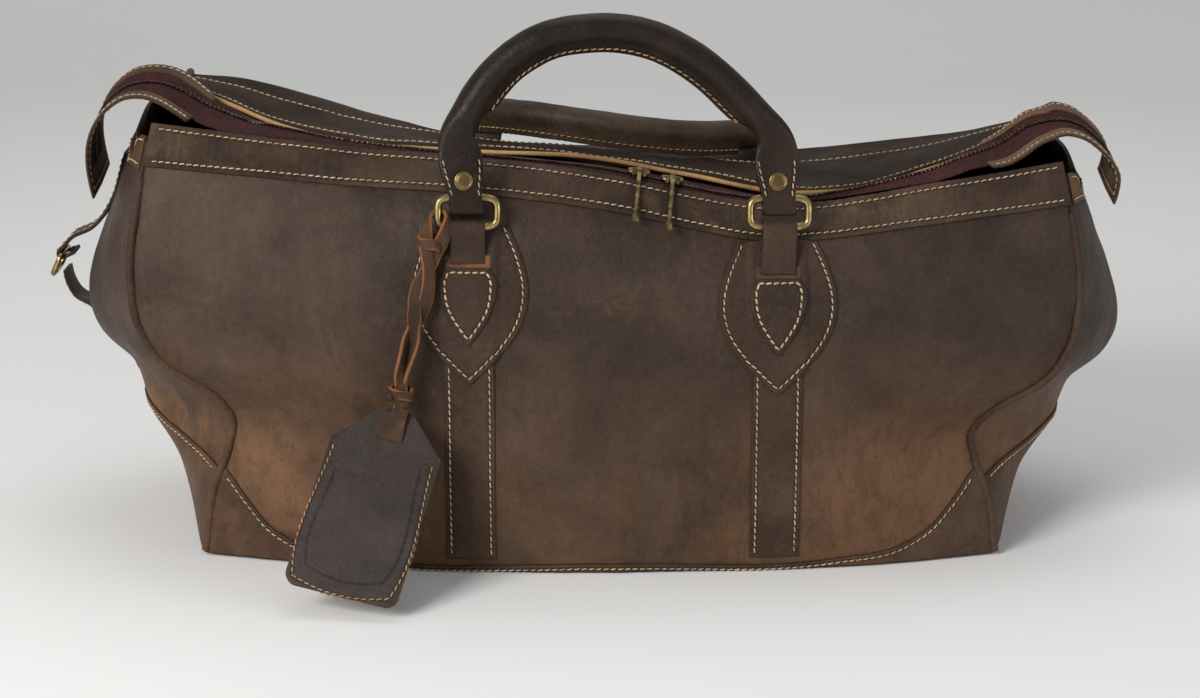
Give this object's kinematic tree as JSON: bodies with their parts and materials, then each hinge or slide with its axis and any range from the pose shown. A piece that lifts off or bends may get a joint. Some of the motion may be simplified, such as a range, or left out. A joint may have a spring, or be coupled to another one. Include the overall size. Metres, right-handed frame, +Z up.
{
  "type": "leather weekender bag",
  "caption": "Soft leather weekender bag with rolled handles on swinging rings, a zip across the top, shaped straps and a hanging luggage tag.",
  "frame": {"origin": "centre of the base, on the floor", "axes": "+Z up, +X to the right along the bag seen from its front, -Y out of the front face"},
  "size_m": [0.6301, 0.3532, 0.3118],
  "materials": {
    "leather_body": "worn satin",
    "leather_trim": "worn satin",
    "leather_handle": "polished by use",
    "leather_tan": "worn satin",
    "leather_tag": "worn satin",
    "bound_edge": "natural",
    "zip_tape": "woven",
    "zip_teeth": "darkened",
    "antique_brass": "antique",
    "lining_cotton": "woven cotton",
    "base_board": "fibreboard"
  },
  "bodies": {
    "shell": {"front_panel": "leather_body", "back_panel": "leather_body", "left_gusset": "leather_body", "right_gusset": "leather_body", "base_panel": "leather_body", "base_board": "base_board", "front_boot": "leather_trim", "back_boot": "leather_trim", "left_end_boot": "leather_trim", "right_end_boot": "leather_trim", "front_left_piping": "leather_body", "front_right_piping": "leather_body", "back_left_piping": "leather_body", "back_right_piping": "leather_body", "front_band": "leather_trim", "back_band": "leather_trim", "left_end_band": "leather_tan", "right_end_band": "leather_tan", "bound_edge": "bound_edge", "zip_tape_front": "zip_tape", "zip_tape_back": "zip_tape", "zip_teeth_front": "zip_teeth", "zip_teeth_back": "zip_teeth", "left_zip_tail": "leather_tan", "right_zip_tail": "leather_tan", "front_left_strap": "leather_trim", "front_right_strap": "leather_trim", "back_left_strap": "leather_trim", "back_right_strap": "leather_trim", "front_left_shield": "leather_trim", "front_right_shield": "leather_trim", "back_left_shield": "leather_trim", "back_right_shield": "leather_trim", "front_left_chape": "leather_trim", "front_right_chape": "leather_trim", "back_left_chape": "leather_trim", "back_right_chape": "leather_trim", "lining": "lining_cotton", "side_strap": "leather_trim", "side_tongue": "leather_trim"},
    "front_rings": {"front_left_ring": "antique_brass", "front_right_ring": "antique_brass"},
    "front_grip": {"front_handle": "leather_handle", "front_left_rivet": "antique_brass", "front_right_rivet": "antique_brass"},
    "back_rings": {"back_left_ring": "antique_brass", "back_right_ring": "antique_brass"},
    "back_grip": {"back_handle": "leather_handle", "back_left_rivet": "antique_brass", "back_right_rivet": "antique_brass"},
    "left_slider": {"left_zip_slider": "antique_brass"},
    "left_pull": {"left_zip_pull": "antique_brass"},
    "right_slider": {"right_zip_slider": "antique_brass"},
    "right_pull": {"right_zip_pull": "antique_brass"},
    "tag_cord": {"tag_thong": "leather_tan"},
    "tag": {"tag_back": "leather_tag", "tag_front": "leather_tag", "tag_window_flap": "leather_tag", "tag_tab": "leather_tan"},
    "end_buckle": {"side_buckle": "antique_brass"}
  },
  "joints": [
    {"name": "front_rings_swing", "type": "hinge", "parent": "shell", "child": "front_rings", "pos_m": [0.01311, -0.13067, 0.19757], "axis": [0.9962, 0.0848, -0.0186], "range_deg": [0, 42]},
    {"name": "front_handle_swing", "type": "hinge", "parent": "front_rings", "child": "front_grip", "pos_m": [0.01319, -0.12815, 0.21337], "axis": [0.9962, 0.0848, -0.0186], "range_deg": [-36, 110]},
    {"name": "back_rings_swing", "type": "hinge", "parent": "shell", "child": "back_rings", "pos_m": [0.01346, 0.10433, 0.20974], "axis": [0.9991, -0.0177, -0.0384], "range_deg": [-65, 0]},
    {"name": "back_handle_swing", "type": "hinge", "parent": "back_rings", "child": "back_grip", "pos_m": [0.01362, 0.09172, 0.21959], "axis": [0.9991, -0.0177, -0.0384], "range_deg": [-120, 0]},
    {"name": "left_slider_travel", "type": "slide", "parent": "shell", "child": "left_slider", "axis": [-0.9891, -0.0064, 0.147], "range_m": [0, 0.05]},
    {"name": "right_slider_travel", "type": "slide", "parent": "shell", "child": "right_slider", "axis": [0.9874, 0.0105, -0.1581], "range_m": [0, 0.036]},
    {"name": "left_pull_swing", "type": "hinge", "parent": "left_slider", "child": "left_pull", "pos_m": [0.02186, -0.09559, 0.22182], "axis": [-0.9891, -0.0064, 0.147], "range_deg": [0, 150]},
    {"name": "right_pull_swing", "type": "hinge", "parent": "right_slider", "child": "right_pull", "pos_m": [0.04041, -0.09632, 0.21756], "axis": [-0.9874, -0.0105, 0.1581], "range_deg": [0, 150]},
    {"name": "tag_cord_swing", "type": "hinge", "parent": "front_rings", "child": "tag_cord", "pos_m": [-0.0871, -0.138, 0.2071], "axis": [-0.9962, -0.0848, 0.0186], "range_deg": [0, 42]},
    {"name": "tag_swing", "type": "hinge", "parent": "tag_cord", "child": "tag", "pos_m": [-0.109, -0.151, 0.105], "axis": [-0.9614, 0.2185, 0.1675], "range_deg": [0, 75]},
    {"name": "buckle_swing", "type": "hinge", "parent": "shell", "child": "end_buckle", "pos_m": [-0.3185, 0.012, 0.1545], "axis": [0, 1, 0], "range_deg": [0, 60]}
  ],
  "couplings": [
    {"joint": "tag_cord_swing", "follows": "front_rings_swing", "ratio": 1}
  ]
}
